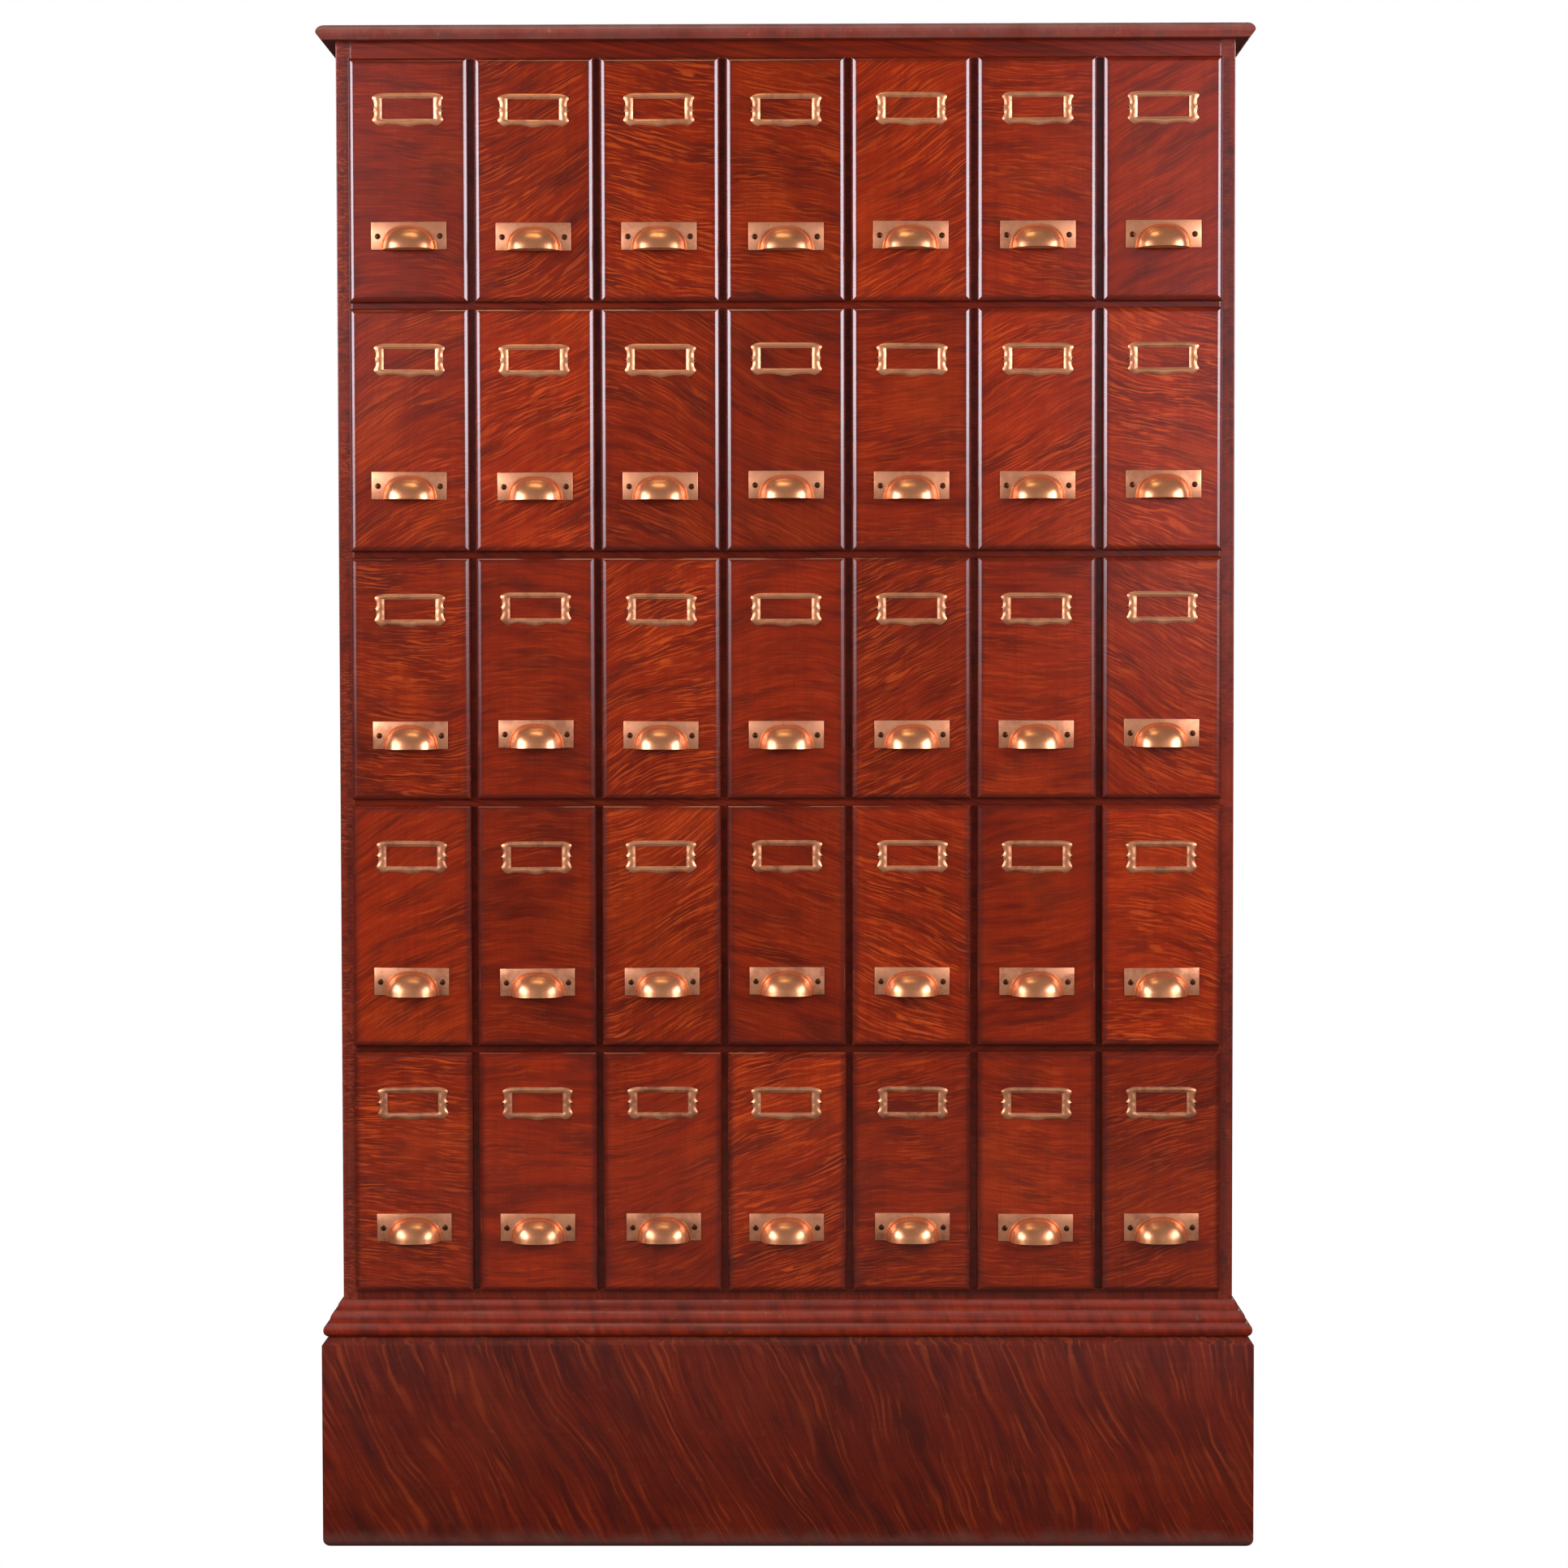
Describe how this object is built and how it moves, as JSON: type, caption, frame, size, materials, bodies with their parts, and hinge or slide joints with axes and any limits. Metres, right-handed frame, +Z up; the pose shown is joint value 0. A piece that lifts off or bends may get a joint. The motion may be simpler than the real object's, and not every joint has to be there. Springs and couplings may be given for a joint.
{
  "type": "apothecary cabinet",
  "caption": "Tall free-standing oak drawer cabinet with a grid of narrow deep drawers, brass cup pulls and label frames, a thin moulded top and a plinth base.",
  "frame": {"origin": "on the floor, under the centre of the cabinet's overall box", "axes": "+Z up, +X to the right of someone facing the drawers, the drawers face -Y"},
  "size_m": [0.949, 0.4114, 1.5455],
  "materials": {
    "oak": "red-brown stained quartersawn oak under a glossy varnish",
    "pine": "unvarnished pine, darkened with age",
    "brass": "lightly tarnished pressed brass with a copper tone"
  },
  "bodies": {
    "carcass": {"top_board": "oak", "top_rail": "oak", "left_side": "oak", "right_side": "oak", "bottom_rail": "oak", "shelf_1": "oak", "shelf_2": "oak", "shelf_3": "oak", "shelf_4": "oak", "partition_1": "oak", "partition_2": "oak", "partition_3": "oak", "partition_4": "oak", "partition_5": "oak", "partition_6": "oak", "plinth_front": "oak", "plinth_left": "oak", "plinth_right": "oak", "base_moulding": "oak", "top_panel": "pine", "back_boards": "pine", "bottom_board": "pine", "plinth_back": "pine", "glue_blocks": "pine", "top_screws": "brass"},
    "drawer_r1_c1": {"drawer_r1_c1": "oak"},
    "drawer_r1_c2": {"drawer_r1_c2": "oak"},
    "drawer_r1_c3": {"drawer_r1_c3": "oak"},
    "drawer_r1_c4": {"drawer_r1_c4": "oak"},
    "drawer_r1_c5": {"drawer_r1_c5": "oak"},
    "drawer_r1_c6": {"drawer_r1_c6": "oak"},
    "drawer_r1_c7": {"drawer_r1_c7": "oak"},
    "drawer_r2_c1": {"drawer_r2_c1": "oak"},
    "drawer_r2_c2": {"drawer_r2_c2": "oak"},
    "drawer_r2_c3": {"drawer_r2_c3": "oak"},
    "drawer_r2_c4": {"drawer_r2_c4": "oak"},
    "drawer_r2_c5": {"drawer_r2_c5": "oak"},
    "drawer_r2_c6": {"drawer_r2_c6": "oak"},
    "drawer_r2_c7": {"drawer_r2_c7": "oak"},
    "drawer_r3_c1": {"drawer_r3_c1": "oak"},
    "drawer_r3_c2": {"drawer_r3_c2": "oak"},
    "drawer_r3_c3": {"drawer_r3_c3": "oak"},
    "drawer_r3_c4": {"drawer_r3_c4": "oak"},
    "drawer_r3_c5": {"drawer_r3_c5": "oak"},
    "drawer_r3_c6": {"drawer_r3_c6": "oak"},
    "drawer_r3_c7": {"drawer_r3_c7": "oak"},
    "drawer_r4_c1": {"drawer_r4_c1": "oak"},
    "drawer_r4_c2": {"drawer_r4_c2": "oak"},
    "drawer_r4_c3": {"drawer_r4_c3": "oak"},
    "drawer_r4_c4": {"drawer_r4_c4": "oak"},
    "drawer_r4_c5": {"drawer_r4_c5": "oak"},
    "drawer_r4_c6": {"drawer_r4_c6": "oak"},
    "drawer_r4_c7": {"drawer_r4_c7": "oak"},
    "drawer_r5_c1": {"drawer_r5_c1": "oak"},
    "drawer_r5_c2": {"drawer_r5_c2": "oak"},
    "drawer_r5_c3": {"drawer_r5_c3": "oak"},
    "drawer_r5_c4": {"drawer_r5_c4": "oak"},
    "drawer_r5_c5": {"drawer_r5_c5": "oak"},
    "drawer_r5_c6": {"drawer_r5_c6": "oak"},
    "drawer_r5_c7": {"drawer_r5_c7": "oak"}
  },
  "joints": [
    {"name": "drawer_r1_c1_slide", "type": "slide", "parent": "carcass", "child": "drawer_r1_c1", "axis": [0, -1, 0], "range_m": [0, 0.26]},
    {"name": "drawer_r1_c2_slide", "type": "slide", "parent": "carcass", "child": "drawer_r1_c2", "axis": [0, -1, 0], "range_m": [0, 0.26]},
    {"name": "drawer_r1_c3_slide", "type": "slide", "parent": "carcass", "child": "drawer_r1_c3", "axis": [0, -1, 0], "range_m": [0, 0.26]},
    {"name": "drawer_r1_c4_slide", "type": "slide", "parent": "carcass", "child": "drawer_r1_c4", "axis": [0, -1, 0], "range_m": [0, 0.26]},
    {"name": "drawer_r1_c5_slide", "type": "slide", "parent": "carcass", "child": "drawer_r1_c5", "axis": [0, -1, 0], "range_m": [0, 0.26]},
    {"name": "drawer_r1_c6_slide", "type": "slide", "parent": "carcass", "child": "drawer_r1_c6", "axis": [0, -1, 0], "range_m": [0, 0.26]},
    {"name": "drawer_r1_c7_slide", "type": "slide", "parent": "carcass", "child": "drawer_r1_c7", "axis": [0, -1, 0], "range_m": [0, 0.26]},
    {"name": "drawer_r2_c1_slide", "type": "slide", "parent": "carcass", "child": "drawer_r2_c1", "axis": [0, -1, 0], "range_m": [0, 0.26]},
    {"name": "drawer_r2_c2_slide", "type": "slide", "parent": "carcass", "child": "drawer_r2_c2", "axis": [0, -1, 0], "range_m": [0, 0.26]},
    {"name": "drawer_r2_c3_slide", "type": "slide", "parent": "carcass", "child": "drawer_r2_c3", "axis": [0, -1, 0], "range_m": [0, 0.26]},
    {"name": "drawer_r2_c4_slide", "type": "slide", "parent": "carcass", "child": "drawer_r2_c4", "axis": [0, -1, 0], "range_m": [0, 0.26]},
    {"name": "drawer_r2_c5_slide", "type": "slide", "parent": "carcass", "child": "drawer_r2_c5", "axis": [0, -1, 0], "range_m": [0, 0.26]},
    {"name": "drawer_r2_c6_slide", "type": "slide", "parent": "carcass", "child": "drawer_r2_c6", "axis": [0, -1, 0], "range_m": [0, 0.26]},
    {"name": "drawer_r2_c7_slide", "type": "slide", "parent": "carcass", "child": "drawer_r2_c7", "axis": [0, -1, 0], "range_m": [0, 0.26]},
    {"name": "drawer_r3_c1_slide", "type": "slide", "parent": "carcass", "child": "drawer_r3_c1", "axis": [0, -1, 0], "range_m": [0, 0.26]},
    {"name": "drawer_r3_c2_slide", "type": "slide", "parent": "carcass", "child": "drawer_r3_c2", "axis": [0, -1, 0], "range_m": [0, 0.26]},
    {"name": "drawer_r3_c3_slide", "type": "slide", "parent": "carcass", "child": "drawer_r3_c3", "axis": [0, -1, 0], "range_m": [0, 0.26]},
    {"name": "drawer_r3_c4_slide", "type": "slide", "parent": "carcass", "child": "drawer_r3_c4", "axis": [0, -1, 0], "range_m": [0, 0.26]},
    {"name": "drawer_r3_c5_slide", "type": "slide", "parent": "carcass", "child": "drawer_r3_c5", "axis": [0, -1, 0], "range_m": [0, 0.26]},
    {"name": "drawer_r3_c6_slide", "type": "slide", "parent": "carcass", "child": "drawer_r3_c6", "axis": [0, -1, 0], "range_m": [0, 0.26]},
    {"name": "drawer_r3_c7_slide", "type": "slide", "parent": "carcass", "child": "drawer_r3_c7", "axis": [0, -1, 0], "range_m": [0, 0.26]},
    {"name": "drawer_r4_c1_slide", "type": "slide", "parent": "carcass", "child": "drawer_r4_c1", "axis": [0, -1, 0], "range_m": [0, 0.26]},
    {"name": "drawer_r4_c2_slide", "type": "slide", "parent": "carcass", "child": "drawer_r4_c2", "axis": [0, -1, 0], "range_m": [0, 0.26]},
    {"name": "drawer_r4_c3_slide", "type": "slide", "parent": "carcass", "child": "drawer_r4_c3", "axis": [0, -1, 0], "range_m": [0, 0.26]},
    {"name": "drawer_r4_c4_slide", "type": "slide", "parent": "carcass", "child": "drawer_r4_c4", "axis": [0, -1, 0], "range_m": [0, 0.26]},
    {"name": "drawer_r4_c5_slide", "type": "slide", "parent": "carcass", "child": "drawer_r4_c5", "axis": [0, -1, 0], "range_m": [0, 0.26]},
    {"name": "drawer_r4_c6_slide", "type": "slide", "parent": "carcass", "child": "drawer_r4_c6", "axis": [0, -1, 0], "range_m": [0, 0.26]},
    {"name": "drawer_r4_c7_slide", "type": "slide", "parent": "carcass", "child": "drawer_r4_c7", "axis": [0, -1, 0], "range_m": [0, 0.26]},
    {"name": "drawer_r5_c1_slide", "type": "slide", "parent": "carcass", "child": "drawer_r5_c1", "axis": [0, -1, 0], "range_m": [0, 0.26]},
    {"name": "drawer_r5_c2_slide", "type": "slide", "parent": "carcass", "child": "drawer_r5_c2", "axis": [0, -1, 0], "range_m": [0, 0.26]},
    {"name": "drawer_r5_c3_slide", "type": "slide", "parent": "carcass", "child": "drawer_r5_c3", "axis": [0, -1, 0], "range_m": [0, 0.26]},
    {"name": "drawer_r5_c4_slide", "type": "slide", "parent": "carcass", "child": "drawer_r5_c4", "axis": [0, -1, 0], "range_m": [0, 0.26]},
    {"name": "drawer_r5_c5_slide", "type": "slide", "parent": "carcass", "child": "drawer_r5_c5", "axis": [0, -1, 0], "range_m": [0, 0.26]},
    {"name": "drawer_r5_c6_slide", "type": "slide", "parent": "carcass", "child": "drawer_r5_c6", "axis": [0, -1, 0], "range_m": [0, 0.26]},
    {"name": "drawer_r5_c7_slide", "type": "slide", "parent": "carcass", "child": "drawer_r5_c7", "axis": [0, -1, 0], "range_m": [0, 0.26]}
  ]
}
